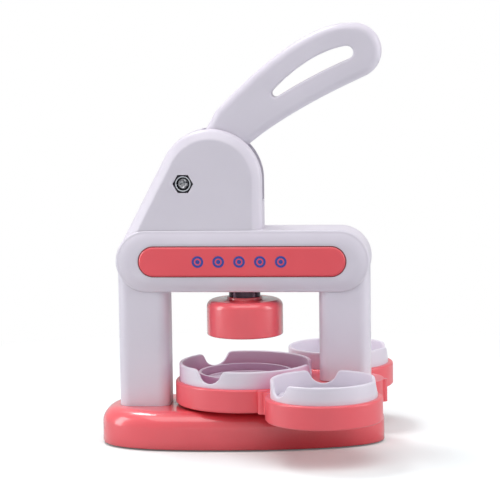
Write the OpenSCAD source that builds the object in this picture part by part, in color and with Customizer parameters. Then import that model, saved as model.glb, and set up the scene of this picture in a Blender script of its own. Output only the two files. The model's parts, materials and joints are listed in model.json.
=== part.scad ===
// Button badge maker: two legs on a slab base carry a cross beam, a lever drives
// a ram down through the beam, and a tray with three die cups turns about the
// right leg. Origin on the floor below the ram, X to the right, Y to the back.

/* [Base] */
// Width of the base, left to right
base_w = 204; // [190:1:230]
// Depth of the base, front to back
base_d = 90; // [84:1:110]
// Height of the base shell above its feet
base_h = 26.5; // [24:0.5:34]
// Radius that rounds the top edge of the base
base_round = 12; // [4:0.5:13]
// How far the base's middle lies to the left of the ram
base_shift = 2; // [0:0.5:6]
// Sideways place where the base is deepest
base_wide_x = -25; // [-30:1:0]
// Squareness of the left end of the base, 2 is an ellipse
base_left_power = 2.6; // [2.4:0.1:4]
// Squareness of the right end of the base, 2 is an ellipse
base_right_power = 2.1; // [1.9:0.1:4]
// Wall of the base shell
base_wall = 3; // [2.4:0.1:4]
// Thickness of the plate that closes the base from below
plate_t = 2; // [1.6:0.1:3]
// How far the rubber feet stand below the base
foot_h = 1; // [0.8:0.1:3]
// Diameter of a rubber foot
foot_d = 14; // [10:1:18]

/* [Legs and beam] */
// Distance between the centres of the two legs
leg_spacing = 144.8; // [142:0.2:150]
// Width of a leg
leg_w = 36.4; // [34:0.2:38]
// Depth of a leg
leg_d = 31; // [28:0.5:34]
// Corner radius of a leg
leg_round = 8; // [4:0.5:10]
// Wall of a leg
leg_wall = 3; // [2.4:0.1:4]
// Height of the open space between base and beam
opening_h = 83; // [78:0.2:100]
// How far the beam's round ends pass the outer sides of the legs
beam_past_leg = 0.6; // [0:0.1:6]
// Height of the beam
beam_h = 44.8; // [42:0.2:50]
// Depth of the beam housing between its two panels
beam_d = 30; // [29.5:0.5:36]
// Wall of the beam housing
beam_wall = 2.8; // [2.2:0.1:3.4]
// Thickness of the front and rear panels
panel_t = 4.6; // [3.6:0.1:6]
// Length of the coloured inlay
inlay_l = 148; // [130:1:152]
// Height of the coloured inlay
inlay_h = 21; // [16:0.5:24]
// Thickness of the coloured inlay
inlay_t = 1.8; // [1.2:0.1:2.4]
// How far the inlay stands proud of its panel
inlay_proud = 0.5; // [0.2:0.1:1]

/* [Hood] */
// Radius of the hood's round top
hood_r = 37; // [36.8:0.1:42]
// Sideways place of the centre of the round top
hood_x = -22.5; // [-23:0.1:-22]
// Height of that centre above the beam
hood_rise = 34.7; // [34:0.1:38]
// Depth of the hood
hood_d = 32; // [31:0.5:38]
// Wall of the hood
hood_wall = 2.6; // [2.2:0.1:3]
// Width of the bevel round the hood's face
hood_bevel = 7; // [5:0.5:9]
// Depth of that bevel
bevel_depth = 5; // [3:0.5:7]

/* [Lever] */
// Sideways place of the lever's pivot
pivot_x = -41.7; // [-43:0.1:-41]
// Height of the pivot above the beam
pivot_rise = 33.1; // [32:0.1:34]
// Thickness of the lever
lever_t = 14; // [12:0.5:14.5]
// Radius that rounds the edges of the lever
lever_round = 5; // [2:0.5:6]
// Rounding of the edges of the grip slot
slot_round = 1.2; // [0.6:0.1:2]
// Radius of the lever's hub
hub_r = 13; // [12:0.5:14]
// Sideways reach of the handle, from the pivot to the centre of its round end
handle_reach = 121.9; // [118:0.1:126]
// Height of that centre above the pivot
handle_rise = 93.1; // [90:0.1:96]
// Radius of the handle's round end
handle_r = 19.8; // [18:0.2:21]
// Radius of the grip slot's wide end
grip_r = 4.6; // [4:0.2:6]
// Radius of its narrow end
grip_tip_r = 2.6; // [2:0.2:4]
// Thickness of the nose that reaches into the yoke
nose_t = 8; // [6:0.5:8.5]
// Radius of the nose round the yoke pin
nose_r = 7; // [6:0.5:8]
// Distance from the pivot to the yoke pin
pin_arm = 44; // [43:0.5:45]
// Angle of the yoke pin above level at rest, in degrees
rest_angle = 15; // [14:0.5:16]
// Swing of the lever from rest to pressed, in degrees
lever_swing = 40; // [30:1:40]
// Diameter of the yoke pin
pin_d = 6; // [5:0.5:7]
// Diameter of the pivot bolt
bolt_d = 8; // [6:0.5:9]
// Width across the flats of the pivot nut and bolt head
nut_af = 13; // [12:0.5:14]

/* [Ram and head] */
// Diameter of the ram shaft
ram_d = 18; // [16:0.5:20]
// Diameter of the collar above the head
collar_d = 22.6; // [22:0.2:23.4]
// Diameter of the pressing head
head_d = 55; // [50:0.5:56]
// Height of the pressing head
head_h = 25.5; // [22:0.5:27]
// Gap between the beam and the top of the head at rest
head_gap = 7; // [6:0.5:12]
// Wire diameter of the return spring
wire_d = 1.6; // [1.2:0.1:1.8]
// Turns of the return spring
spring_turns = 6; // [5:1:7]

/* [Turning tray] */
// Gap between the base and the tray
tray_gap = 1.5; // [1:0.1:3]
// Height of the tray's cups
tray_h = 16.6; // [15:0.2:20]
// Thickness of the tray's floor
tray_floor = 2.5; // [2:0.1:4]
// Gap between the centre cup and the legs
cup_leg_gap = 3.5; // [3:0.1:8]
// Outer radius of the front and rear cups
side_cup_r = 41; // [39:0.5:42]
// Wall of a cup
cup_wall = 3.7; // [3:0.1:5]
// Wall of the centre cup
centre_wall = 2.8; // [2.4:0.1:4]
// Angle from the centre cup to the front cup
front_angle = 81; // [78:0.5:90]
// Angle from the centre cup to the rear cup
rear_angle = 82.5; // [78:0.5:90]
// Radius of the webs that join the cups, from the tray's axis
web_r = 77; // [72:0.5:82]
// Radius of the tray's hub
hub_web_r = 27.5; // [24:0.5:30]
// Radius of the boss that the tray turns on
boss_r = 13; // [11:0.5:15]

/* [Dies] */
// Height of a die ring's rim above the cups
ring_rise = 12.4; // [10:0.2:14]
// Wall of a die ring
ring_wall = 2.4; // [2:0.1:3]
// Depth of a thumb notch in a die ring
notch_depth = 9.5; // [7:0.5:12]
// Half width of a thumb notch at the rim
notch_half = 11.6; // [8:0.1:13]
// Outer radius of the centre die's inner ring
inner_ring_r = 34; // [30:0.5:36]
// Height of the inner ring above the cups
inner_ring_rise = 5.2; // [2:0.1:7]
// Wall of the inner ring
inner_ring_wall = 2; // [1.6:0.1:2.6]

/* [Fits] */
// Clearance round a turning or sliding metal fit, on the radius
run_gap = 0.06; // [0.03:0.01:0.1]
// Clearance between moving plastic faces
move_gap = 0.4; // [0.3:0.05:0.8]
// Clearance round a part that is pushed or dropped into its seat
seat_gap = 0.1; // [0.05:0.01:0.2]
// Diameter of the tie bolts in the legs
tie_d = 6; // [5:0.5:8]
// Diameter of the small case screws
screw_d = 3; // [2.5:0.1:4]

/* [Hidden] */

coral = "#E0606A";
white = "#E6E4EC";
steel = "#9A9CA2";
dark_steel = "#4A4A50";
rubber = "#303034";

leg_x = leg_spacing / 2;
beam_l = leg_spacing + leg_w + 2 * beam_past_leg;
centre_cup_r = leg_x - leg_w / 2 - cup_leg_gap;
base_top = foot_h + base_h;
tray_z = base_top + tray_gap;
cup_top = tray_z + tray_h;
boss_top = cup_top + move_gap;
beam_z = base_top + opening_h;
beam_mid = beam_z + beam_h / 2;
beam_top = beam_z + beam_h;
beam_front = -beam_d / 2;
pivot_z = beam_top + pivot_rise;
hood_z = beam_top + hood_rise;
pin_x = pivot_x + pin_arm * cos(rest_angle);
pin_z = pivot_z + pin_arm * sin(rest_angle);
pressed_angle = rest_angle - lever_swing;
travel = pin_arm * (sin(rest_angle) - sin(pressed_angle));
handle_end = [pivot_x + handle_reach, pivot_z + handle_rise];
// A place on the lever, as shares of the handle's reach and rise
function along(x, z) = [pivot_x + x * handle_reach, pivot_z + z * handle_rise];
lever_back = along(0.12, 0.387);
head_top = beam_z - head_gap;
head_z = head_top - head_h;
core_top = head_z - travel - 1.8;
well_z = tray_z + tray_floor;
ring_top = cup_top + ring_rise;

// yoke
yoke_half_x = 9.5;
yoke_half_y = nose_t / 2 + 4.5;
yoke_gap = nose_t / 2 + 0.3;
yoke_floor = pin_z - nose_r - 5.5;
yoke_z = yoke_floor - 10;
spigot_r = 5.5;
slot_half = pin_d / 2 + move_gap;
slot_x0 = pivot_x + pin_arm * min(cos(rest_angle), cos(pressed_angle)) - move_gap;
slot_x1 = pivot_x + pin_arm + move_gap;

// ram guide
bore_r = collar_d / 2 + 0.7;
collar_top = beam_z + 3.5;
bush_z = collar_top + 2;
bush_h = 13;
bush_r = ram_d / 2 + 2.4;
flange_t = 1.5;
spring_r = ram_d / 2 + 0.9 + wire_d / 2;
washer_t = 1.5;
spring_z0 = bush_z + bush_h + flange_t;
spring_z1 = yoke_z - washer_t;

function arc(c, r, a0, a1, n) =
    [for (i = [0:n]) let (a = a0 + (a1 - a0) * i / n) c + r * [cos(a), sin(a)]];
function bend(p0, p1, p2, n) =
    [for (i = [0:n]) let (t = i / n) (1 - t) * (1 - t) * p0 + 2 * t * (1 - t) * p1 + t * t * p2];
function unit(v) = v / norm(v);

// Points of a counter-clockwise outline moved inwards by d
function inset(pts, d) = let (n = len(pts))
    [for (i = [0:n - 1]) let (
        a = unit(pts[i] - pts[(i + n - 1) % n]),
        b = unit(pts[(i + 1) % n] - pts[i]),
        m = unit([-a[1] - b[1], a[0] + b[0]]),
        k = max(0.5, m * [-a[1], a[0]])) pts[i] + m * d / k];

// Solid between copies of one outline, each layer being [height, inset]
module loft(pts, layers) {
    n = len(pts);
    m = len(layers);
    polyhedron(
        points = [for (l = layers) for (p = inset(pts, l[1])) [p[0], p[1], l[0]]],
        faces = concat(
            [[for (i = [0:n - 1]) i]],
            [[for (i = [n - 1:-1:0]) (m - 1) * n + i]],
            [for (j = [0:m - 2]) for (i = [0:n - 1]) let (k = (i + 1) % n)
                [j * n + i, (j + 1) * n + i, (j + 1) * n + k]],
            [for (j = [0:m - 2]) for (i = [0:n - 1]) let (k = (i + 1) % n)
                [j * n + i, (j + 1) * n + k, j * n + k]]),
        convexity = 6);
}

// Layers of a quarter round of radius r that ends at height h
function round_top(h, r, n) =
    [for (i = [0:n]) let (a = 90 * i / n) [h - r + r * sin(a), r - r * cos(a)]];

// Layers of a quarter round of radius r that starts at height 0
function round_bottom(r, n) = [for (i = [0:n]) let (a = 90 * i / n) [r - r * cos(a), r - r * sin(a)]];

// Points of the base's outline
function base_outline(n = 80) = [for (i = [0:n - 1]) let (
    a = 360 * i / n, left = cos(a) < 0,
    p = left ? base_left_power : base_right_power,
    reach = left ? base_w / 2 + base_wide_x : base_w / 2 - base_wide_x)
    [base_wide_x - base_shift + reach * sign(cos(a)) * pow(abs(cos(a)), 2 / p),
     base_d / 2 * sign(sin(a)) * pow(abs(sin(a)), 2 / p)]];

module round_rect(w, d, r) {
    square([w - 2 * r, d], center = true);
    square([w, d - 2 * r], center = true);
    for (x = [-1, 1], y = [-1, 1]) translate([x * (w / 2 - r), y * (d / 2 - r)]) circle(r, $fn = 64);
}

module stadium(l, h) {
    square([l - h, h], center = true);
    for (x = [-1, 1]) translate([x * (l - h) / 2, 0]) circle(h / 2, $fn = 96);
}

function stadium_outline(l, h) = concat(
    arc([(l - h) / 2, 0], h / 2, -90, 90, 24), arc([-(l - h) / 2, 0], h / 2, 90, 270, 24));

// Places a shape drawn in X and Z so that it starts at the plane y and grows forwards
module forwards(y) {
    translate([0, y, 0]) rotate([90, 0, 0]) children();
}

module tube(z, h, r_out, r_in) {
    translate([0, 0, z]) difference() {
        cylinder(h = h, r = r_out, $fn = 96);
        translate([0, 0, -1]) cylinder(h = h + 2, r = r_in, $fn = 96);
    }
}

module hex(af, h) {
    cylinder(h = h, r = af / 2 / cos(30), $fn = 6);
}

module at_legs() {
    for (x = [-leg_x, leg_x]) translate([x, 0, 0]) children();
}

// ---- base ----
plate_screws = [for (p = [[-0.44, 0], [-0.1, 0.33], [-0.1, -0.33], [0.22, 0.31], [0.22, -0.31]])
    [p[0] * base_w, p[1] * base_d]];
feet_at = [[0, 0], [-0.36, 0.26], [-0.36, -0.26], [0.36, 0.17], [0.36, -0.17]];

module base_shell() color(coral) difference() {
    union() {
        difference() {
            union() {
                loft(base_outline(), concat([[foot_h, 1], [foot_h + 1, 0]],
                    round_top(base_top, base_round, 9)));
                translate([-leg_x, 0, base_top - base_round]) linear_extrude(base_round)
                    round_rect(leg_w, leg_d, leg_round);
            }
            translate([0, 0, foot_h - 1]) loft(base_outline(), [[0, base_wall],
                [base_h + 1 - base_wall - base_round / 2, base_wall],
                [base_h + 1 - base_wall, base_wall + base_round / 2]]);
        }
        at_legs() tube(foot_h + plate_t + seat_gap, base_h - plate_t - base_wall, 11, tie_d / 2);
        for (p = plate_screws) translate([p[0], p[1], 0])
            tube(foot_h + plate_t + seat_gap, base_h - plate_t - base_wall, 4, screw_d / 2);
        translate([leg_x, 0, base_top - base_wall]) cylinder(h = boss_top - base_top + base_wall,
            r = boss_r, $fn = 96);
    }
    at_legs() cylinder(h = boss_top + 1, r = tie_d / 2 + seat_gap, $fn = 48);
    at_legs() cylinder(h = foot_h + plate_t + tie_d, r = tie_d, $fn = 48);
    for (p = plate_screws) translate([p[0], p[1], 0]) cylinder(h = foot_h + 12, r = screw_d / 2, $fn = 32);
}

module base_bottom_plate() color("#5A2A30") difference() {
    translate([0, 0, foot_h]) loft(base_outline(), [[0, base_wall + seat_gap],
        [plate_t, base_wall + seat_gap]]);
    at_legs() cylinder(h = 10, r = tie_d + 1, $fn = 48);
    for (p = plate_screws) translate([p[0], p[1], 0]) cylinder(h = 10, r = screw_d / 2 + seat_gap, $fn = 32);
    for (p = plate_screws) translate([p[0], p[1], 0]) cylinder(h = foot_h + 1, r = screw_d, $fn = 32);
    for (f = feet_at) translate([f[0] * base_w, f[1] * base_d, 0]) cylinder(h = 10, r = 2.5, $fn = 32);
}

module rubber_feet() color(rubber)
    for (f = feet_at) translate([f[0] * base_w, f[1] * base_d, 0]) rotate_extrude($fn = 64)
        polygon([[0, 0], [foot_d / 2 - 0.4, 0], [foot_d / 2, 0.4], [foot_d / 2, foot_h], [2.5, foot_h],
            [2.5, foot_h + plate_t], [0, foot_h + plate_t]]);

module base_screws() color(steel)
    for (p = plate_screws) translate([p[0], p[1], foot_h]) difference() {
        union() {
            cylinder(h = 10, r = screw_d / 2, $fn = 32);
            cylinder(h = 1, r = screw_d, $fn = 48);
        }
        for (a = [0, 90]) rotate(a) cube([screw_d, 0.6, 1.2], center = true);
    }

// ---- legs ----
// Post whose top is cut to saddle the round underside of the beam
module leg(x, z0) color(white) difference() {
    translate([x, 0, z0]) linear_extrude(beam_mid - z0) round_rect(leg_w, leg_d, leg_round);
    forwards(leg_d) linear_extrude(2 * leg_d) beam_profile();
    translate([x, 0, z0 + leg_wall]) linear_extrude(beam_z - z0 - 2 * leg_wall)
        round_rect(leg_w - 2 * leg_wall, leg_d - 2 * leg_wall, leg_round - leg_wall);
    translate([x, 0, z0 - 1]) cylinder(h = beam_mid, r = tie_d / 2 + seat_gap, $fn = 48);
}

module left_leg() leg(-leg_x, base_top);

module right_leg() leg(leg_x, boss_top);

tie_head_z = foot_h + plate_t + tie_d - 0.7 * tie_d;
tie_washer_t = 1.4;
tie_seat = beam_z + beam_wall + 3.2;

module leg_tie_bolts() color(steel) at_legs() {
    translate([0, 0, tie_head_z]) hex(1.6 * tie_d, 0.7 * tie_d);
    translate([0, 0, tie_head_z + 0.7 * tie_d])
        cylinder(h = tie_seat + tie_washer_t + tie_d - tie_head_z - 0.4 * tie_d, r = tie_d / 2, $fn = 48);
}

module leg_tie_washers() color(steel) at_legs() tube(tie_seat, tie_washer_t, tie_d, tie_d / 2 + seat_gap);

module leg_tie_nuts() color(steel) at_legs() translate([0, 0, tie_seat + tie_washer_t]) difference() {
    hex(1.6 * tie_d, 0.8 * tie_d);
    translate([0, 0, -1]) cylinder(h = 2 * tie_d, r = tie_d / 2, $fn = 48);
}

// ---- beam ----
// Outline of the beam in X and Z, moved inwards by d
module beam_profile(d = 0) translate([0, beam_mid]) stadium(beam_l - 2 * d, beam_h - 2 * d);

opening_x0 = -60;
opening_x1 = hood_x + hood_r - hood_wall + 0.8;
opening_half_y = beam_d / 2 - 2.5;
panel_screw_x = inlay_l / 2 - 8;

screw_seat = panel_t + inlay_proud - inlay_t - 0.6 * screw_d;

// Places a shape on each panel screw's axis, starting at the housing's front face
module at_panel_screws() for (x = [-panel_screw_x, panel_screw_x])
    translate([x, beam_front, beam_mid]) rotate([-90, 0, 0]) children();

module beam_housing() color(white) difference() {
    union() {
        forwards(beam_d / 2) difference() {
            linear_extrude(beam_d) beam_profile();
            translate([0, 0, -1]) linear_extrude(beam_d + 2) beam_profile(beam_wall);
        }
        tube(beam_z, bush_z + bush_h - beam_z, bush_r + 3, bore_r);
        intersection() {
            forwards(beam_d / 2) linear_extrude(beam_d) beam_profile(beam_wall / 2);
            at_legs() translate([0, 0, beam_z]) cylinder(h = tie_seat - beam_z, r = tie_d + 1.5, $fn = 64);
        }
        at_panel_screws() cylinder(h = beam_d, r = 3.6, $fn = 48);
        for (x = [-1, 1]) translate([x * (panel_screw_x - 1.5) - 1.5, beam_front, beam_mid])
            cube([3, beam_d, beam_h / 2 - beam_wall / 2]);
    }
    translate([opening_x0, -opening_half_y, beam_top - beam_wall - 1])
        cube([opening_x1 - opening_x0, 2 * opening_half_y, beam_wall + 2]);
    translate([0, 0, beam_z - 1]) cylinder(h = bush_z - beam_z + 1, r = bore_r, $fn = 96);
    translate([0, 0, bush_z - 0.5]) cylinder(h = bush_h + 1, r = bush_r + seat_gap, $fn = 96);
    at_legs() translate([0, 0, beam_z - 1]) cylinder(h = 12, r = tie_d / 2 + seat_gap, $fn = 48);
    at_panel_screws() translate([0, 0, -1]) cylinder(h = beam_d + 2, r = screw_d / 2, $fn = 32);
}

// Panel drawn in X and Z, its back on the plane z = 0
module panel() translate([0, beam_mid, 0]) difference() {
    loft(stadium_outline(beam_l, beam_h), concat([[0, 0]], round_top(panel_t, 2.6, 5)));
    translate([0, 0, panel_t + inlay_proud - inlay_t]) linear_extrude(inlay_t)
        stadium(inlay_l + 2 * seat_gap, inlay_h + 2 * seat_gap);
    for (x = [-panel_screw_x, panel_screw_x]) translate([x, 0, -1])
        cylinder(h = panel_t + 2, r = screw_d / 2 + seat_gap, $fn = 32);
    for (x = [-panel_screw_x, panel_screw_x]) translate([x, 0, screw_seat])
        cylinder(h = panel_t, r = screw_d + seat_gap, $fn = 32);
}

module inlay() translate([0, beam_mid, panel_t + inlay_proud - inlay_t])
    loft(stadium_outline(inlay_l, inlay_h), [[0, 0], [inlay_t - 0.4, 0], [inlay_t, 0.4]]);

module front_side() forwards(beam_front) children();

module rear_side() mirror([0, 1, 0]) forwards(beam_front) children();

module beam_front_panel() color(white) front_side() panel();

module beam_rear_panel() color(white) rear_side() panel();

module front_inlay() color(coral) front_side() inlay();

module rear_inlay() color(coral) rear_side() inlay();

module screw(length) {
    cylinder(h = length, r = screw_d / 2, $fn = 32);
    translate([0, 0, length]) difference() {
        cylinder(h = 0.6 * screw_d - 0.1, r = screw_d, $fn = 48);
        for (a = [0, 90]) rotate(a) translate([0, 0, 0.6 * screw_d]) cube([screw_d, 0.6, 1.6], center = true);
    }
}

module panel_screws() color(steel) {
    for (x = [-panel_screw_x, panel_screw_x]) front_side()
        translate([x, beam_mid, screw_seat - 12]) screw(12);
    for (x = [-panel_screw_x, panel_screw_x]) rear_side()
        translate([x, beam_mid, screw_seat - 12]) screw(12);
}

// ---- hood ----
// The left side is the common tangent of the hood's round top and the beam's round end
beam_end = [-(beam_l - beam_h) / 2, beam_mid];
hood_centre = [hood_x, hood_z];
end_to_hood = hood_centre - beam_end;
hood_slant = atan2(end_to_hood[1], end_to_hood[0]) + asin((hood_r - beam_h / 2) / norm(end_to_hood));
hood_foot = beam_end + beam_h / 2 * [-sin(hood_slant), cos(hood_slant)]
    + 3 * [cos(hood_slant), sin(hood_slant)];
hood_screw_at = [[-62, beam_top + 8], [-48, beam_top + 8]];
boss_face = lever_t / 2 + 1;
lever_slot = lever_t / 2 + move_gap;
lever_slot_x = lever_back[0] - 1.8;
lever_slot_z = pivot_z - hub_r;

// Outline of the hood, counter-clockwise from its lower right corner
hood_outline = concat(
    arc([hood_x, hood_z], hood_r, 0, 90 + hood_slant, 48),
    [hood_foot, [hood_x + hood_r, hood_foot[1]]]);

module hood_shell() forwards(0) difference() {
    union() {
        difference() {
            loft(hood_outline, [[0, 0], [hood_d / 2 - bevel_depth, 0], [hood_d / 2, hood_bevel]]);
            translate([0, 0, -1]) loft(hood_outline, [[0, hood_wall],
                [hood_d / 2 - bevel_depth - hood_wall / 2 + 1, hood_wall],
                [hood_d / 2 - hood_wall + 1, hood_bevel + hood_wall / 2]]);
        }
        translate([pivot_x, pivot_z, boss_face]) cylinder(h = hood_d / 2 - boss_face, r = 10.5, $fn = 96);
        for (p = hood_screw_at) translate([p[0], p[1], 0]) cylinder(h = hood_d / 2 - 1, r = 3.8, $fn = 48);
    }
    translate([0, 0, -1]) linear_extrude(hood_d) beam_profile();
    translate([0, 0, -1]) linear_extrude(lever_slot + 1) polygon([[lever_slot_x, hood_z + 20],
        [lever_slot_x, hood_z + hood_r + 1], [hood_x + hood_r + 1, hood_z + hood_r + 1],
        [hood_x + hood_r + 1, lever_slot_z], [hood_x + hood_r - hood_wall - 3, lever_slot_z],
        [hood_x + hood_r - hood_wall - 3, hood_z + 10]]);
    translate([pivot_x, pivot_z, -1]) cylinder(h = hood_d, r = bolt_d / 2 + seat_gap, $fn = 48);
    translate([pivot_x, pivot_z, hood_d / 2 - nut_depth]) hex(nut_af + 2 * pocket_gap, hood_d);
}

nut_depth = 0.75 * bolt_d;
pocket_gap = 0.5;

module hood_screw_holes(r, head) for (p = hood_screw_at) translate([p[0], 0, p[1]]) rotate([90, 0, 0]) {
    translate([0, 0, -hood_d]) cylinder(h = 1.5 * hood_d - 3, r = r, $fn = 32);
    if (head) translate([0, 0, -hood_d]) cylinder(h = hood_d / 2 + 4, r = screw_d + seat_gap, $fn = 48);
}

module hood_front_shell() color(white) difference() {
    hood_shell();
    hood_screw_holes(screw_d / 2, false);
}

module hood_rear_shell() color(white) difference() {
    mirror([0, 1, 0]) hood_shell();
    hood_screw_holes(screw_d / 2 + seat_gap, true);
}

module hood_screws() color(steel) for (p = hood_screw_at)
    translate([p[0], hood_d / 2 - 4, p[1]]) rotate([-90, 0, 0])
        translate([0, 0, 8 - hood_d]) screw(hood_d - 8);

// ---- lever ----
// A place on the round end, at this angle
function round_end(a) = handle_end + handle_r * [cos(a), sin(a)];
// A place in the grip, in radii of the round end to the left of and below its centre
function grip(x, z) = handle_end - handle_r * [x, z];

lever_outline = concat(
    arc([pivot_x, pivot_z], hub_r, 136, 320, 20),
    [along(0.31, 0.166)],
    bend(along(0.342, 0.247), along(0.581, 0.523), round_end(-62), 12),
    arc(handle_end, handle_r, -50, 84, 12),
    bend(round_end(96), along(0.695, 1.227), along(0.188, 0.548), 14),
    [lever_back]);
grip_tip = grip(2.83, 1.51);
grip_end = grip(0.24, 0.055);
grip_outline = concat(
    arc(grip_tip, grip_tip_r, 140, 290, 8),
    bend(grip_tip + grip_tip_r * [0.65, -0.8], grip(1.56, 0.88), grip_end + grip_r * [0.46, -0.94], 8),
    arc(grip_end, grip_r, -58, 88, 8),
    bend(grip_end + grip_r * [-0.3, 1], grip(1.553, 0.043), grip_tip + grip_tip_r * [-0.35, 1.2], 8));

module yoke_place() translate([pin_x, 0, pin_z]) rotate([90, 0, 0]) children();

module lever() color(white) difference() {
    union() {
        forwards(lever_t / 2) difference() {
            loft(lever_outline, concat(
                round_bottom(lever_round, 4), round_top(lever_t, lever_round, 4)));
            translate([0, 0, -1]) loft(grip_outline, [[0, -slot_round], [1, -slot_round],
                [1 + 0.3 * slot_round, -0.3 * slot_round], [1 + slot_round, 0],
                [1 + lever_t - slot_round, 0], [1 + lever_t - 0.3 * slot_round, -0.3 * slot_round],
                [1 + lever_t, -slot_round], [2 + lever_t, -slot_round]]);
        }
        forwards(nose_t / 2) {
            translate([pin_x, pin_z]) cylinder(h = nose_t, r = nose_r, $fn = 64);
            linear_extrude(nose_t) polygon([
                [pivot_x, pivot_z] + nose_r * [sin(rest_angle), -cos(rest_angle)],
                [pin_x, pin_z] + nose_r * [sin(rest_angle), -cos(rest_angle)],
                [pin_x, pin_z] + nose_r * [-sin(rest_angle), cos(rest_angle)],
                [pivot_x, pivot_z] + nose_r * [-sin(rest_angle), cos(rest_angle)]]);
        }
    }
    for (s = [-1, 1]) translate([0, s * (nose_t / 2 + lever_t / 2), 0]) yoke_place()
        cylinder(h = lever_t, r = yoke_half_x + slot_x1 - slot_x0 - move_gap, center = true, $fn = 96);
    yoke_place() cylinder(h = 2 * lever_t, r = pin_d / 2, center = true, $fn = 48);
    forwards(lever_t) translate([pivot_x, pivot_z]) cylinder(h = 2 * lever_t, r = lever_bush_r, $fn = 64);
}

lever_bush_r = bolt_d / 2 + 2;

module lever_bush() color(steel) translate([pivot_x, lever_t / 2, pivot_z]) rotate([90, 0, 0])
    tube(0, lever_t, lever_bush_r, bolt_d / 2 + run_gap);

module pivot_washers() color(steel) for (y = [-lever_t / 2 - run_gap, boss_face])
    translate([pivot_x, y, pivot_z]) rotate([90, 0, 0])
        tube(0, boss_face - lever_t / 2 - run_gap, 10, bolt_d / 2 + seat_gap);

bolt_head_y = hood_d / 2 - nut_depth;

module pivot_bolt() color(steel) translate([pivot_x, bolt_head_y, pivot_z]) rotate([90, 0, 0]) {
    translate([0, 0, -0.65 * bolt_d]) hex(nut_af, 0.65 * bolt_d);
    cylinder(h = 2 * bolt_head_y + nut_depth - 0.6, r = bolt_d / 2, $fn = 64);
}

module pivot_nut() color(steel) translate([pivot_x, -bolt_head_y, pivot_z]) rotate([90, 0, 0])
    difference() {
        hex(nut_af, 0.65 * bolt_d);
        translate([0, 0, -1]) cylinder(h = bolt_d, r = bolt_d / 2, $fn = 64);
    }

pin_half = yoke_half_y + 2.2;

module yoke_pin() color(steel) yoke_place() cylinder(h = 2 * pin_half, r = pin_d / 2, center = true, $fn = 48);

module yoke_pin_clips() color(steel) for (s = [-1, 1])
    translate([0, s * (pin_half - 0.9), 0]) yoke_place() difference() {
        cylinder(h = 1, r = pin_d / 2 + 2, center = true, $fn = 48);
        cylinder(h = 2, r = pin_d / 2, center = true, $fn = 48);
    }

// ---- ram ----
module ram_yoke() color(dark_steel) difference() {
    intersection() {
        translate([-yoke_half_x, -yoke_half_y, yoke_z])
            cube([2 * yoke_half_x, 2 * yoke_half_y, pin_z + yoke_half_x - yoke_z]);
        union() {
            translate([0, 0, pin_z]) rotate([90, 0, 0])
                cylinder(h = 4 * yoke_half_y, r = yoke_half_x, center = true, $fn = 96);
            translate([-2 * yoke_half_x, -2 * yoke_half_y, yoke_z - 1])
                cube([4 * yoke_half_x, 4 * yoke_half_y, pin_z - yoke_z + 1]);
        }
    }
    translate([-2 * yoke_half_x, -yoke_gap, yoke_floor]) cube([4 * yoke_half_x, 2 * yoke_gap, 40]);
    for (x = [slot_x0, slot_x1]) translate([x, 0, pin_z]) rotate([90, 0, 0])
        cylinder(h = 4 * yoke_half_y, r = slot_half, center = true, $fn = 64);
    translate([slot_x0, -2 * yoke_half_y, pin_z - slot_half])
        cube([slot_x1 - slot_x0, 4 * yoke_half_y, 2 * slot_half]);
    translate([0, 0, yoke_z - 1]) cylinder(h = 8 + 1, r = spigot_r + run_gap, $fn = 64);
    translate([0, 0, yoke_z + 4]) rotate([90, 0, 0])
        cylinder(h = 4 * yoke_half_y, r = screw_d / 2, center = true, $fn = 48);
}

module yoke_cross_pin() color(steel) translate([0, 0, yoke_z + 4]) rotate([90, 0, 0])
    cylinder(h = 2 * yoke_half_y, r = screw_d / 2, center = true, $fn = 48);

module ram_shaft() color(steel) difference() {
    union() {
        translate([0, 0, head_top]) cylinder(h = yoke_z - head_top, r = ram_d / 2, $fn = 96);
        translate([0, 0, head_top]) cylinder(h = yoke_z - head_top + 8, r = spigot_r, $fn = 96);
    }
    translate([0, 0, yoke_z + 4]) rotate([90, 0, 0])
        cylinder(h = ram_d, r = screw_d / 2, center = true, $fn = 48);
    translate([0, 0, head_top - 1]) cylinder(h = 16, r = 3, $fn = 48);
}

module ram_collar() color(dark_steel) translate([0, 0, head_top]) rotate_extrude($fn = 96)
    polygon([[ram_d / 2 + run_gap / 2, 0], [collar_d / 2 + 1, 0], [collar_d / 2 + 1, 1.6],
        [collar_d / 2, 2], [collar_d / 2, collar_top - head_top - 0.6],
        [collar_d / 2 - 0.6, collar_top - head_top], [ram_d / 2 + run_gap / 2, collar_top - head_top]]);

module ram_guide_bush() color("#B08D4F") {
    tube(bush_z, bush_h, bush_r, ram_d / 2 + run_gap);
    tube(bush_z + bush_h, flange_t, bush_r + 2.4, ram_d / 2 + run_gap);
}

// Helix of round wire whose end turns lie closer together
coil_steps = 14;
function coil_rise(t) = let (n = spring_turns, e = 0.8)
    t < e ? t / e * wire_d * 0.9 :
    t > n - e ? 1 - 0 + (t - n) / e * wire_d * 0.9 + (spring_z1 - spring_z0 - wire_d - 1) :
    wire_d * 0.9 + (t - e) / (n - 2 * e) * (spring_z1 - spring_z0 - wire_d - 1.8 * wire_d);

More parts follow.
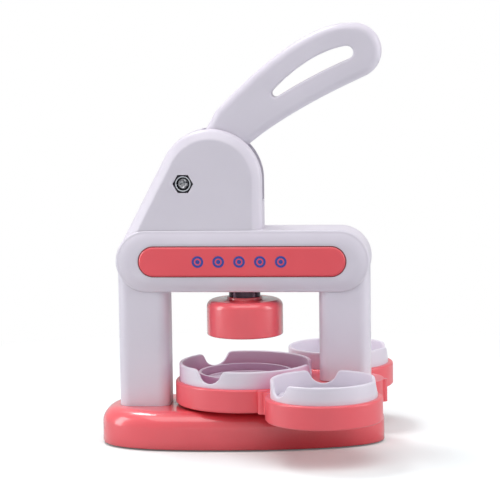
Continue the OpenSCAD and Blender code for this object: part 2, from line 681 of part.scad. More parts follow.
module return_spring() color(steel) {
    n = spring_turns * coil_steps;
    sides = 8;
    pts = [for (i = [0:n]) let (a = 360 * i / coil_steps, z = spring_z0 + wire_d / 2
            + coil_rise(i / coil_steps)) for (k = [0:sides - 1]) let (b = 360 * k / sides,
            r = spring_r + wire_d / 2 * cos(b)) [r * cos(a), r * sin(a), z + wire_d / 2 * sin(b)]];
    polyhedron(points = pts, convexity = 10, faces = concat(
        [[for (k = [0:sides - 1]) k]],
        [[for (k = [sides - 1:-1:0]) n * sides + k]],
        [for (i = [0:n - 1]) for (k = [0:sides - 1]) let (m = (k + 1) % sides)
            [i * sides + k, (i + 1) * sides + k, (i + 1) * sides + m]],
        [for (i = [0:n - 1]) for (k = [0:sides - 1]) let (m = (k + 1) % sides)
            [i * sides + k, (i + 1) * sides + m, i * sides + m]]));
}

module spring_washer() color(steel) tube(spring_z1, washer_t, spring_r + wire_d / 2,
    ram_d / 2 + run_gap);

head_round = 5;
pad_t = 2;

module press_head() color(coral) difference() {
    translate([0, 0, head_z]) rotate_extrude($fn = 128) polygon(concat(
        [[0, 0], [head_d / 2 - 1.2, 0]], arc([head_d / 2 - 1.2, 1.2], 1.2, -90, 0, 4),
        arc([head_d / 2 - head_round, head_h - head_round], head_round, 0, 90, 12), [[0, head_h]]));
    translate([0, 0, head_z - 1]) cylinder(h = pad_t + 1, r = head_d / 2 - 4, $fn = 96);
    translate([0, 0, head_z - 1]) cylinder(h = head_h + 2, r = 3 + seat_gap, $fn = 48);
    translate([0, 0, head_z - 1]) cylinder(h = pad_t + 8, r = 6, $fn = 48);
}

module head_screw() color(steel) difference() {
    union() {
        translate([0, 0, head_z + pad_t + 2.8]) cylinder(h = 4.2, r = 5.2, $fn = 48);
        translate([0, 0, head_z + pad_t + 7]) cylinder(h = head_h - pad_t + 7, r = 3, $fn = 48);
    }
    translate([0, 0, head_z + pad_t]) hex(5, 5);
}

module head_pad() color("#C9C4C4") translate([0, 0, head_z]) rotate_extrude($fn = 96)
    polygon([[0, 0.6], [head_d / 2 - 7, 0.6], [head_d / 2 - 6, 0], [head_d / 2 - 4.1, 0],
        [head_d / 2 - 4.1, pad_t], [0, pad_t]]);

// ---- tray and dies ----
side_ring_r = side_cup_r - cup_wall;
front_at = [leg_x - leg_x * cos(front_angle), -leg_x * sin(front_angle)];
rear_at = [leg_x - leg_x * cos(rear_angle), leg_x * sin(rear_angle)];
rim_round = 1.5;
foot_chamfer = 1;
lug_r = 3.4;

module cup_body(r) rotate_extrude($fn = 128) polygon(concat([[0, 0], [r - foot_chamfer, 0], [r, foot_chamfer]],
    arc([r - rim_round, tray_h - rim_round], rim_round, 0, 90, 5), [[0, tray_h]]));

// Web between the centre cup and a side cup, on one side of the tray's axis
module web(a0, a1) linear_extrude(tray_h - 0.6) polygon(concat([[0, 0]],
    [for (i = [0:10]) let (a = a0 + (a1 - a0) * i / 10) web_r * [cos(a), sin(a)]]));

// Stiffening lugs at the joins between the cups: angle about the tray's axis, and distance from it
lugs = [[222, web_r - 1.6], [138, web_r - 1.6], [0, hub_web_r - 1]];

module die_tray() color(coral) difference() {
    translate([0, 0, tray_z]) union() {
        cup_body(centre_cup_r);
        translate(front_at) cup_body(side_cup_r);
        translate(rear_at) cup_body(side_cup_r);
        translate([leg_x, 0, 0]) {
            cylinder(h = tray_h, r = hub_web_r, $fn = 96);
            for (l = lugs) rotate(l[0]) translate([l[1], 0, 0]) cylinder(h = tray_h - 0.2, r = lug_r, $fn = 48);
            web(180, 180 + front_angle * 0.7);
            web(180 - rear_angle * 0.7, 180);
        }
    }
    for (w = [[[0, 0], centre_cup_r - centre_wall], [front_at, side_ring_r], [rear_at, side_ring_r]])
        translate([w[0][0], w[0][1], well_z]) cylinder(h = tray_h, r = w[1] + seat_gap, $fn = 128);
    translate([leg_x, 0, tray_z - 1]) cylinder(h = tray_h + 2, r = boss_r + run_gap, $fn = 96);
    translate([leg_x, 0, tray_z - 1]) cylinder(h = tray_floor + 1, r = boss_r + 6, $fn = 96);
}

module tray_thrust_washer() color("#EDEBE4") translate([leg_x, 0, 0])
    tube(base_top, tray_gap + tray_floor - run_gap, boss_r + 5, boss_r + run_gap);

notch_floor_r = 11;

// Cutter for one thumb notch: a rounded trough that flares to the rim
module notch(top, r) {
    side = [[notch_half - 2.1, notch_depth - 3.6], [notch_half - 1, notch_depth - 1.5],
        [notch_half, notch_depth - 0.4], [notch_half + 1.6, notch_depth + 0.2],
        [notch_half + 1.6, notch_depth + 1]];
    n = len(side);
    translate([0, 0, top - notch_depth]) rotate([90, 0, 90]) linear_extrude(2 * r)
        polygon(concat(arc([0, notch_floor_r], notch_floor_r, 225, 315, 12), side,
            [for (i = [1:n]) [-side[n - i][0], side[n - i][1]]]));
}

// The revolved wall starts and ends at this angle, between two notches
seam_angle = 48;
ring_round = ring_wall / 2 - 0.2;

module die_ring(r, notches, foot) color(white) difference() {
    h = ring_top - well_z;
    translate([0, 0, well_z]) rotate(seam_angle) rotate_extrude($fn = 128) polygon(concat(
        [[r - ring_wall - foot, 0], [r, 0]], arc([r - ring_round, h - ring_round], ring_round, 0, 90, 4),
        arc([r - ring_wall + ring_round, h - ring_round], ring_round, 90, 180, 4),
        [[r - ring_wall, 2.5], [r - ring_wall - foot, 2.5]]));
    for (a = notches) rotate(a) notch(ring_top, r);
}

module centre_die_ring() die_ring(centre_cup_r - centre_wall, [0, 124.5, 241.5], 6);

inner_top = cup_top + inner_ring_rise;

module centre_die_inner_ring() color(white) translate([0, 0, well_z]) difference() {
    tube(0, inner_top - well_z, inner_ring_r, inner_ring_r - inner_ring_wall);
    for (a = [60, 180, 300]) rotate(a) translate([inner_ring_r - 8, -5, -1]) cube([12, 10, 2.5]);
}

module die_core(r) rotate_extrude($fn = 96) polygon([[0, 0], [r, 0], [r, core_top - well_z - 3],
    [r - 3, core_top - well_z], [r - 5, core_top - well_z], [r - 6, core_top - well_z - 1.2],
    [0, core_top - well_z - 1.2]]);

module centre_die_core() color(white) translate([0, 0, well_z])
    die_core(inner_ring_r - inner_ring_wall - seat_gap);

side_core_r = side_ring_r - ring_wall - seat_gap;

module front_die_ring() translate(front_at) die_ring(side_ring_r, [3, 94, 213.5], 0);

module front_die_core() color(white) translate(front_at) translate([0, 0, well_z]) die_core(side_core_r);

module rear_die_ring() translate(rear_at) die_ring(side_ring_r, [6, 96, 276], 0);

module rear_die_core() color(white) translate(rear_at) translate([0, 0, well_z]) die_core(side_core_r);

base_shell();
base_bottom_plate();
rubber_feet();
base_screws();
left_leg();
right_leg();
leg_tie_bolts();
leg_tie_washers();
leg_tie_nuts();
beam_housing();
beam_front_panel();
beam_rear_panel();
front_inlay();
rear_inlay();
panel_screws();
hood_front_shell();
hood_rear_shell();
hood_screws();
lever();
lever_bush();
pivot_washers();
pivot_bolt();
pivot_nut();
yoke_pin();
yoke_pin_clips();
ram_yoke();
yoke_cross_pin();
ram_shaft();
ram_collar();
ram_guide_bush();
return_spring();
spring_washer();
press_head();
head_screw();
head_pad();
die_tray();
tray_thrust_washer();
centre_die_ring();
centre_die_inner_ring();
centre_die_core();
front_die_ring();
front_die_core();
rear_die_ring();
rear_die_core();
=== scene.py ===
import json
import math
import bmesh
import bpy
from mathutils import Matrix, Vector


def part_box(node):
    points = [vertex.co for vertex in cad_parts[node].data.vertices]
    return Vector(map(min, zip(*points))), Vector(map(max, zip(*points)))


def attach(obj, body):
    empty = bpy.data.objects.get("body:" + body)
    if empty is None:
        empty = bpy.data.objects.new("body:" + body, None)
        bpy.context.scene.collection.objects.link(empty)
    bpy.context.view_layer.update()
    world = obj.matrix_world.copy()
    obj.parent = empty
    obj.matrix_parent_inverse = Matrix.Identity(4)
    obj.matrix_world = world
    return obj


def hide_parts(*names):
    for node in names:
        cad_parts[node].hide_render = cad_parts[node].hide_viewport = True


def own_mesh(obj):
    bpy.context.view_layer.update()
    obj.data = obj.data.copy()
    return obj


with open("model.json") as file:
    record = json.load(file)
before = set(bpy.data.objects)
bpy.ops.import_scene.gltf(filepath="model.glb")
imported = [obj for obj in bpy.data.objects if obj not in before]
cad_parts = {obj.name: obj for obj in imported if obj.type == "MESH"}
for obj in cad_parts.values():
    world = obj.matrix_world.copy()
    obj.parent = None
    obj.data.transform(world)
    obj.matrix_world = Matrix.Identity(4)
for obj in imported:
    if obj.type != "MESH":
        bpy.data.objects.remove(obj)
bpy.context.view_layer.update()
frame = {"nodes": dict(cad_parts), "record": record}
nodes = frame["nodes"]
scene = bpy.context.scene
scene.view_settings.view_transform = "Standard"


# Camera: its turn, lift and roll in degrees, its distance and target in metres
view = {
    "azimuth": 5.33, "elevation": 7.19, "roll": 0.81,
    "distance": 1.8132, "lens": 181.46, "target": (0.00431, 0.0, 0.13894),
}


def placeCamera(view):
    az, el, roll = (math.radians(view[k]) for k in ("azimuth", "elevation", "roll"))
    target = Vector(view["target"])
    away = Vector((math.sin(az) * math.cos(el), -math.cos(az) * math.cos(el), math.sin(el)))
    right = Vector((math.cos(az), math.sin(az), 0.0))
    up = away.cross(right)
    tiltedRight = right * math.cos(roll) - up * math.sin(roll)
    tiltedUp = right * math.sin(roll) + up * math.cos(roll)
    data = bpy.data.cameras.new("camera")
    data.lens = view["lens"]
    data.sensor_width = 36.0
    data.clip_end = 20.0
    camera = bpy.data.objects.new("camera", data)
    turn = Matrix((tiltedRight, tiltedUp, away)).transposed().to_4x4()
    camera.matrix_world = Matrix.Translation(target + away * view["distance"]) @ turn
    scene.collection.objects.link(camera)
    scene.camera = camera


placeCamera(view)
print("camera placed")


# An sRGB hex colour as the linear one that Blender works in
def linear(code):
    parts = [int(code[i:i + 2], 16) / 255 for i in (1, 3, 5)]
    return tuple(p / 12.92 if p <= 0.04045 else ((p + 0.055) / 1.055) ** 2.4 for p in parts) + (1.0,)


# Adds a node, sets its inputs or properties, and links other nodes' outputs to its inputs
def addNode(tree, kind, settings=None, links=None):
    node = tree.nodes.new(kind)
    for key, value in (settings or {}).items():
        if isinstance(key, int) or key in node.inputs:
            node.inputs[key].default_value = value
        else:
            setattr(node, key, value)
    for key, source in (links or {}).items():
        tree.links.new(source, node.inputs[key])
    return node


def newMaterial(name):
    material = bpy.data.materials.new(name)
    material.use_nodes = True
    tree = material.node_tree
    tree.nodes.clear()
    return material, tree


# A noise scale whose features are this many millimetres wide
def perMm(size):
    return 1000.0 / size


def noiseOf(tree, place, sizeMm, detail=3.0, roughness=0.5):
    node = addNode(tree, "ShaderNodeTexNoise", {
        "Scale": perMm(sizeMm), "Detail": detail, "Roughness": roughness}, {"Vector": place})
    return node.outputs["Fac"]


def ramp(tree, value, low, high, outLow, outHigh):
    node = addNode(tree, "ShaderNodeMapRange", {
        "From Min": low, "From Max": high, "To Min": outLow, "To Max": outHigh}, {"Value": value})
    return node.outputs["Result"]


def mixColour(tree, factor, first, second):
    node = addNode(tree, "ShaderNodeMix", {"data_type": "RGBA"})
    for index, source in ((0, factor), (6, first), (7, second)):
        if hasattr(source, "is_output"):
            tree.links.new(source, node.inputs[index])
        else:
            node.inputs[index].default_value = source
    return node.outputs[2]


# Shared by all moulded pieces: ABS bends light by 1.54, light goes about 4 mm deep, and the tool's polish
# is sharper than the plastic's own gloss. Scuffs run one way, so their pattern is squeezed across it
moulded = {"ior": 1.54, "glowDepth": 0.004, "coatRoughness": 0.08, "scuffTurn": (0.5, 0.9, 0.4),
           "scuffSqueeze": (1.0, 14.0, 1.0), "scuffFrom": 0.62, "scuffTo": 0.72}


# Injection moulded plastic: the melt's flow shades it in slow clouds, the tool's polish leaves a faint
# peel that breaks up reflections, and handling leaves hairline scuffs that are a little duller
def mouldedPlastic(name, spec):
    material, tree = newMaterial(name)
    place = addNode(tree, "ShaderNodeTexCoord").outputs["Object"]
    flow = ramp(tree, noiseOf(tree, place, spec["flowMm"], 2.0), 0.3, 0.7, 0.0, 1.0)
    peel = noiseOf(tree, place, spec["peelMm"], 2.0)
    grain = noiseOf(tree, place, spec["grainMm"], 3.0, 0.7)
    squeezed = addNode(tree, "ShaderNodeMapping", {
        "Rotation": moulded["scuffTurn"], "Scale": moulded["scuffSqueeze"]}, {"Vector": place})
    hairs = noiseOf(tree, squeezed.outputs["Vector"], spec["scuffMm"], 4.0, 0.6)
    scuff = ramp(tree, hairs, moulded["scuffFrom"], moulded["scuffTo"], 0.0, 1.0)
    colour = mixColour(tree, flow, linear(spec["colour"]), linear(spec["shade"]))
    # Painted shade: ambient occlusion mixes the colour towards a darker or tinted one where neighbours close
    # in
    if "paintedShade" in spec:  # the colour deepens where neighbours close in
        reach, deep, clear = spec["paintedShadeReach"]
        near = addNode(tree, "ShaderNodeAmbientOcclusion", {"samples": 8, "Distance": reach}).outputs["AO"]
        colour = mixColour(tree, ramp(tree, near, deep, clear, 1.0, 0.0), colour, linear(spec["paintedShade"]))
    gloss, spread = spec["roughness"], spec["spread"]
    dull = addNode(tree, "ShaderNodeMath", {"operation": "MULTIPLY", 1: spec["scuff"]}, {0: scuff}).outputs[0]
    even = ramp(tree, grain, 0.3, 0.7, gloss - spread, gloss + spread)
    rough = addNode(tree, "ShaderNodeMath", {"operation": "ADD"}, {0: even, 1: dull}).outputs[0]
    coarse = addNode(tree, "ShaderNodeBump", {"Strength": 1.0, "Distance": spec["peelDepth"]},
                     {"Height": peel})
    fine = addNode(tree, "ShaderNodeBump", {"Strength": 1.0, "Distance": spec["grainDepth"]},
                   {"Height": grain, "Normal": coarse.outputs["Normal"]})
    surface = addNode(tree, "ShaderNodeBsdfPrincipled", {
        "IOR": moulded["ior"], "Subsurface Weight": spec["scatter"],
        "Subsurface Scale": moulded["glowDepth"], "Subsurface Radius": spec["radius"],
        "Coat Weight": spec["coat"], "Coat Roughness": moulded["coatRoughness"]},
        {"Base Color": colour, "Roughness": rough, "Normal": fine.outputs["Normal"]})
    addNode(tree, "ShaderNodeOutputMaterial", None, {"Surface": surface.outputs["BSDF"]})
    return material


# Turned, forged or plated metal: tool marks stretch every highlight into a band, pits too fine to see
# one by one (0.12 mm) break it up, and the plating, scale or oil shades the metal in patches
def turnedMetal(name, spec):
    material, tree = newMaterial(name)
    place = addNode(tree, "ShaderNodeTexCoord").outputs["Object"]
    drawn = addNode(tree, "ShaderNodeMapping", {"Scale": spec["marksScale"]}, {"Vector": place})
    tool = noiseOf(tree, drawn.outputs["Vector"], spec["markMm"], 5.0, 0.65)
    film = ramp(tree, noiseOf(tree, place, spec["filmMm"], 3.0), 0.35, 0.65, 0.0, 1.0)
    pits = noiseOf(tree, place, 0.12, 2.0)
    gloss, spread = spec["roughness"], spec["spread"]
    colour = mixColour(tree, film, linear(spec["colour"]), linear(spec["shade"]))
    rough = ramp(tree, tool, 0.3, 0.7, gloss - spread, gloss + spread)
    lines = addNode(tree, "ShaderNodeBump", {"Strength": 1.0, "Distance": spec["markDepth"]},
                    {"Height": tool})
    fine = addNode(tree, "ShaderNodeBump", {"Strength": 0.6, "Distance": 0.000004},
                   {"Height": pits, "Normal": lines.outputs["Normal"]})
    surface = addNode(tree, "ShaderNodeBsdfPrincipled", {"Metallic": 1.0},
                      {"Base Color": colour, "Roughness": rough, "Normal": fine.outputs["Normal"]})
    addNode(tree, "ShaderNodeOutputMaterial", None, {"Surface": surface.outputs["BSDF"]})
    return material


# Depths are in metres, and the painted shade's reach is how far neighbours count, in metres, and the
# open shares between which the colour fades
white = {"colour": "#E1DBE6", "shade": "#DCD6E1", "roughness": 0.36, "spread": 0.05, "coat": 0.0,
         "flowMm": 60.0, "peelMm": 5.0, "peelDepth": 0.00002, "grainMm": 0.35, "grainDepth": 0.000006,
         "scuffMm": 9.0, "scuff": 0.06, "scatter": 0.12, "radius": (1.0, 0.95, 1.1)}
coral = {"colour": "#F35862", "shade": "#ED525C", "roughness": 0.17, "spread": 0.03, "coat": 0.0,
         "flowMm": 60.0, "peelMm": 6.0, "peelDepth": 0.00003, "grainMm": 0.5, "grainDepth": 0.000003,
         "scuffMm": 11.0, "scuff": 0.08, "scatter": 0.1, "radius": (1.0, 0.35, 0.3)}
materials = {
    # white ABS, moulded in a lightly stoned tool: satin, so edges catch a soft band of light
    "white": mouldedPlastic("white_abs_moulded_satin", white),
    # the centre die: a pink-mauve tint where neighbours close in, painted shade and painted coral bounce
    # light on its thin walls
    "whiteDie": mouldedPlastic("white_abs_painted_bounce_shade", dict(
        white, paintedShade="#D9A6C6", paintedShadeReach=(0.045, 0.25, 0.85))),
    # the inlay strips: coral ABS from a polished tool, with a dark red painted shade line in the seam round
    # them
    "coralStrip": mouldedPlastic("coral_abs_painted_seam_shade", dict(
        coral, paintedShade="#4A0C18", paintedShadeReach=(0.0015, 0.25, 0.85))),
    # the base and the head: from a mirror-polished tool, so highlights keep their edges, with deep red
    # painted shade where coral faces coral and neighbours close in
    "coralGloss": mouldedPlastic("coral_abs_mirror_painted_shade", dict(
        coral, roughness=0.34, coat=1.0, paintedShade="#B01422", paintedShadeReach=(0.05, 0.15, 0.55))),
    # the tray: from a stoned tool, satin, so its walls read even and pale
    "coralSatin": mouldedPlastic("coral_abs_moulded_stoned", dict(
        coral, colour="#F2606A", shade="#EC5963", roughness=0.36, spread=0.05, scuff=0.05, coat=0.35)),
    # the bottom plate: dark ABS left matt by an etched tool
    "darkPlate": mouldedPlastic("dark_abs_moulded_matte", dict(
        coral, colour="#7A2C38", shade="#702633", roughness=0.6, spread=0.06, scatter=0.0)),
    # feet: moulded rubber, dull and almost black
    "rubber": mouldedPlastic("rubber_moulded_matte", dict(
        white, colour="#26262A", shade="#1E1E22", roughness=0.8, spread=0.08, scatter=0.0,
        grainDepth=0.00002)),
    # thrust washer: turned acetal, milky and waxy
    "acetal": mouldedPlastic("acetal_turned_waxy", dict(
        white, colour="#EDEBE2", shade="#E6E3D8", roughness=0.32, scatter=0.3)),
    # the head's face pad: pressed ferrite rubber, an even warm grey
    "pad": mouldedPlastic("ferrite_rubber_pad", dict(
        white, colour="#B9B4B6", shade="#AFA9AB", roughness=0.55, scatter=0.0)),
    # pad printed ink: flat and a little rough
    "blue": mouldedPlastic("blue_ink_pad_printed", dict(
        white, colour="#3344A0", shade="#2D3D98", roughness=0.4, scatter=0.0, grainDepth=0.00001)),
    # bright zinc on cold headed steel: bluish, with a cloudy film
    "zinc": turnedMetal("steel_zinc_plated_bright", {
        "colour": "#D6D8DC", "shade": "#BEC1C8", "roughness": 0.2, "spread": 0.08, "markMm": 1.6,
        "marksScale": (1.0, 6.0, 1.0), "markDepth": 0.00001, "filmMm": 3.0}),
    # the nut: dark all over, which paints the shade of the deep hex pocket round its chamfers, with a cold
    # sheen
    "nutShadeSteel": turnedMetal("steel_painted_pocket_shade", {
        "colour": "#6A6B70", "shade": "#414246", "roughness": 0.26, "spread": 0.1, "markMm": 1.2,
        "marksScale": (1.0, 8.0, 1.0), "markDepth": 0.00003, "filmMm": 2.0}),
    # the bolt as it was sheared off: bright torn spots in dark scale
    "shearedSteel": turnedMetal("steel_sheared_end_mottled", {
        "colour": "#C8C9CD", "shade": "#48494E", "roughness": 0.3, "spread": 0.12, "markMm": 0.9,
        "marksScale": (1.0, 3.0, 1.0), "markDepth": 0.00008, "filmMm": 1.5}),
    # turned and oil blackened steel: dark, with fine rings round the ram's axis, and a purple tint that
    # paints the coral head's reflection
    "darkSteel": turnedMetal("steel_turned_oil_blackened", {
        "colour": "#53434C", "shade": "#3D2E37", "roughness": 0.3, "spread": 0.1, "markMm": 2.4,
        "marksScale": (0.2, 0.2, 8.0), "markDepth": 0.00002, "filmMm": 8.0}),
    # ground steel rod: close grinding lines across its length
    "groundSteel": turnedMetal("steel_centreless_ground", {
        "colour": "#B8BAC0", "shade": "#A3A5AC", "roughness": 0.2, "spread": 0.05, "markMm": 1.2,
        "marksScale": (0.2, 0.2, 8.0), "markDepth": 0.000008, "filmMm": 9.0}),
    # turned brass: warm, with fine rings left by the tool
    "brass": turnedMetal("brass_turned", {
        "colour": "#C8A15A", "shade": "#B98F49", "roughness": 0.28, "spread": 0.08, "markMm": 1.6,
        "marksScale": (0.2, 0.2, 8.0), "markDepth": 0.00001, "filmMm": 6.0}),
}
slotLook = {"coral_abs": "coralSatin", "white_abs": "white", "dark_abs": "darkPlate", "rubber": "rubber",
            "plated_steel": "zinc", "dark_steel": "darkSteel", "brass": "brass", "acetal": "acetal",
            "magnet_pad": "pad"}
print("materials made", len(materials))


# Shapes are drawn in mm, as closed outlines that run counter-clockwise. An arc turns in degrees
def arc(centre, radius, start, end, steps):
    turns = [math.radians(start + (end - start) * i / steps) for i in range(steps + 1)]
    return [(centre[0] + radius * math.cos(t), centre[1] + radius * math.sin(t)) for t in turns]


# A whole turn, without its first point again at the end
def circle(centre, radius, steps=48):
    return arc(centre, radius, 0, 360 - 360 / steps, steps - 1)


# A curve from first to last that is drawn towards pull
def bend(first, pull, last, steps):
    out = []
    for i in range(steps + 1):
        t = i / steps
        weights = ((1 - t) ** 2, 2 * t * (1 - t), t * t)
        out.append(tuple(weights[0] * a + weights[1] * b + weights[2] * c
                         for a, b, c in zip(first, pull, last)))
    return out


# No corner moves by more than the inset's distance divided by this
mitreFloor = 0.35


# Moves an outline inwards, or outwards by a negative distance
def inset(points, distance):
    out = []
    for i, point in enumerate(points):
        here = Vector(point)
        before = (here - Vector(points[i - 1])).normalized()
        after = (Vector(points[(i + 1) % len(points)]) - here).normalized()
        sides = [Vector((-v.y, v.x)) for v in (before, after)]
        middle = (sides[0] + sides[1]).normalized()
        out.append(tuple(here + middle * distance / max(mitreFloor, middle.dot(sides[0]))))
    return out


# Pairs of height and inset for the rounded upper edge of a form of this height
def roundOver(height, radius, steps):
    turns = [math.radians(90 * i / steps) for i in range(steps + 1)]
    return [(height - radius + radius * math.sin(t), radius - radius * math.cos(t)) for t in turns]


# A long form with half round ends
def stadium(length, height, steps=48):
    reach = (length - height) / 2
    return arc((reach, 0), height / 2, -90, 90, steps) + arc((-reach, 0), height / 2, 90, 270, steps)


def roundRect(width, depth, radius, steps=12):
    x, y = width / 2 - radius, depth / 2 - radius
    corners = ((x, y, 0), (-x, y, 90), (-x, -y, 180), (x, -y, 270))
    return [p for cx, cy, start in corners for p in arc((cx, cy), radius, start, start + 90, steps)]


def level(points, z, at=(0, 0)):
    return [(x + at[0], y + at[1], z) for x, y in points]


# Points drawn in X and Z, standing at the depth y
def upright(points, y, at=(0, 0)):
    return [(x + at[0], y, z + at[1]) for x, z in points]


# Skins a row of rings with as many points each. The ends are closed, left open, or joined as a loop
def addRings(bm, rings, closed=True, loop=False):
    grid = [[bm.verts.new(Vector(p) / 1000) for p in ring] for ring in rings]
    pairs = list(zip(grid, grid[1:])) + ([(grid[-1], grid[0])] if loop else [])
    for low, high in pairs:
        for i in range(len(low)):
            j = (i + 1) % len(low)
            bm.faces.new((low[i], low[j], high[j], high[i]))
    if closed and not loop:
        bm.faces.new(list(reversed(grid[0])))
        bm.faces.new(grid[-1])
    return grid


# Turns a closed profile of radius and height pairs, or what section gives at each angle
def addTurned(bm, profile, centre=(0, 0), steps=128, section=None):
    rings = []
    for i in range(steps):
        turn = 2 * math.pi * i / steps
        side = section(turn) if section else profile
        rings.append([(centre[0] + r * math.cos(turn), centre[1] + r * math.sin(turn), z) for r, z in side])
    addRings(bm, rings, loop=True)


# Makes a piece that rides on a body and stands for CAD nodes. Edges over sharp degrees stay crisp
def makePiece(name, fill, look, body, stands=(), sharp=32):
    mesh = bpy.data.meshes.new(name)
    bm = bmesh.new()
    fill(bm)
    bmesh.ops.remove_doubles(bm, verts=bm.verts, dist=0.0000005)
    bmesh.ops.recalc_face_normals(bm, faces=bm.faces)
    bm.to_mesh(mesh)
    bm.free()
    obj = bpy.data.objects.new(name, mesh)
    scene.collection.objects.link(obj)
    mesh.materials.append(materials[look])
    mesh.polygons.foreach_set("use_smooth", [True] * len(mesh.polygons))
    mesh.set_sharp_from_angle(angle=math.radians(sharp))
    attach(obj, body)
    if stands:
        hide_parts(*stands)
    return obj


# Cuts obj with a tool that is made for this and then taken away
def cutWith(obj, name, fill, sharp):
    mesh = bpy.data.meshes.new(name)
    bm = bmesh.new()
    fill(bm)
    bmesh.ops.recalc_face_normals(bm, faces=bm.faces)
    bm.to_mesh(mesh)
    bm.free()
    tool = bpy.data.objects.new(name, mesh)
    scene.collection.objects.link(tool)
    cut = obj.modifiers.new("cut", "BOOLEAN")
    cut.operation = "DIFFERENCE"
    cut.solver = "EXACT"
    cut.object = tool
    bpy.context.view_layer.update()
    graph = bpy.context.evaluated_depsgraph_get()
    result = bpy.data.meshes.new_from_object(obj.evaluated_get(graph), depsgraph=graph)
    obj.modifiers.clear()
    old = obj.data
    obj.data = result
    bpy.data.meshes.remove(old)
    bpy.data.objects.remove(tool)
    result.polygons.foreach_set("use_smooth", [True] * len(result.polygons))
    result.set_sharp_from_angle(angle=math.radians(sharp))


# Places that several pieces share: the legs on X, where the tray turns round the right one, and the
# pivot bolt in X and Z
legX = 72.4
pivotAt = (-41.7, 188.4)

# Base: an egg from above, widest left of the middle and blunter there, with a pad under the left leg and
# a boss that the tray turns on. The foot holds heights and insets, the deck only insets, and the pad's
# steps are measured from the top
base = {"width": 204, "depth": 90, "wideX": -25, "leftPower": 2.6, "rightPower": 2.1, "top": 27.5,
        "round": 12, "shift": 2, "deck": (18, 26),
        "foot": [(3.1, 3.0), (1.0, 3.0), (1.0, 1.0), (1.15, 0.5), (1.5, 0.15), (2.0, 0.0), (9.0, 0.0)],
        "padW": 36.4, "padD": 31, "padCorner": 8,
        "padSteps": ((-8, -1.6), (-3, -1.6), (-1.6, -1.2), (-0.5, -0.6), (0, -0.2)),
        "bossR": 13, "bossFoot": 20, "bossTop": 46, "bossEdge": 0.4}


def baseOutline(steps=200):
    out = []
    for i in range(steps):
        a = 2 * math.pi * i / steps
        c, s = math.cos(a), math.sin(a)
        power = base["leftPower"] if c < 0 else base["rightPower"]
        reach = base["width"] / 2 + base["wideX"] * (1 if c < 0 else -1)
        out.append((base["wideX"] - base["shift"] + reach * math.copysign(abs(c) ** (2 / power), c),
                    base["depth"] / 2 * math.copysign(abs(s) ** (2 / power), s)))
    return out


def fillBase(bm):
    outline, top = baseOutline(), base["top"]
    layers = base["foot"] + roundOver(top, base["round"], 18) + [(top, d) for d in base["deck"]]
    addRings(bm, [level(inset(outline, d), z) for z, d in layers])
    pad = roundRect(base["padW"], base["padD"], base["padCorner"])
    addRings(bm, [level(inset(pad, d), top + z, (-legX, 0)) for z, d in base["padSteps"]])
    r, high, edge = base["bossR"], base["bossTop"], base["bossEdge"]
    boss = [(0, base["bossFoot"]), (r, base["bossFoot"]), (r, high - edge), (r - edge, high), (0, high)]
    addTurned(bm, boss, (legX, 0), 96)


makePiece("base_moulding", fillBase, "coralGloss", "base", ["base_shell"], 40)
print("base made")


# Beam: crowned panels with a seat for the inlay strip. The panel's lip holds depths below its face and
# insets from the seat's rim, and the strip has a thin flange that closes the seat round it
beam = {"length": 182.4, "height": 44.8, "middle": 132.9, "front": 15, "panel": 4.6, "round": 2.0,
        "crown": 2.6, "crownSteps": 12, "tuck": 3,
        "lip": ((0, -1.6), (0, -0.45), (0.12, -0.12), (0.45, 0), (1.4, 0), (1.4, 4)),
        "inlayL": 148, "inlayH": 21, "inlayT": 1.8, "proud": 0.5, "gap": 0.7, "chamfer": 0.8,
        "flange": 0.4, "play": 0.05, "soften": 0.1, "faceIn": 2}


def fillPanel(side):
    def fill(bm):
        outer = stadium(beam["length"], beam["height"])
        rim = stadium(beam["inlayL"] + 2 * beam["gap"], beam["inlayH"] + 2 * beam["gap"])
        face, steps = beam["front"] + beam["panel"], beam["crownSteps"]
        at = (0, beam["middle"])
        width = (beam["height"] - beam["inlayH"]) / 2 - beam["gap"]
        crowned = width - beam["round"]
        rings = [upright(inset(outer, beam["tuck"]), side * beam["front"], at),
                 upright(outer, side * beam["front"], at)]
        for z, d in roundOver(beam["panel"] - beam["crown"], beam["round"], 12):
            rings.append(upright(inset(outer, d), side * (beam["front"] + z), at))
        for i in range(1, steps):
            d = beam["round"] + crowned * i / steps
            fall = beam["crown"] * ((width - d) / crowned) ** 2
            rings.append(upright(inset(outer, d), side * (face - fall), at))
        rings += [upright(inset(rim, d), side * (face - z), at) for z, d in beam["lip"]]
        addRings(bm, rings)
    return fill


def fillInlay(side):
    def fill(bm):
        outer = stadium(beam["inlayL"], beam["inlayH"])
        back = beam["front"] + beam["panel"] + beam["proud"] - beam["inlayT"]
        top, cut, soft = beam["inlayT"], beam["chamfer"], beam["soften"]
        reach = -beam["gap"] + beam["play"]
        layers = [(0, reach), (beam["flange"], reach), (beam["flange"], 0), (top - cut, 0),
                  (top - soft, cut - soft), (top, cut + soft), (top, beam["faceIn"])]
        addRings(bm, [upright(inset(outer, d), side * (back + z), (0, beam["middle"])) for z, d in layers])
    return fill


for side, word in ((-1, "front"), (1, "rear")):
    panel, strip = "beam_" + word + "_panel", word + "_inlay"
    makePiece(word + "_panel_moulding", fillPanel(side), "white", "base", [panel], 40)
    makePiece(strip + "_strip", fillInlay(side), "coralStrip", "base", [strip], 40)

# Five printed ring and dot marks, whose backs lie in the strip
marks = {"discs": 5, "pitch": 14.9, "radius": 4.2, "ring": 2.5, "dot": 1.6, "centreX": -1.8, "lift": 0.03,
         "root": 0.1}


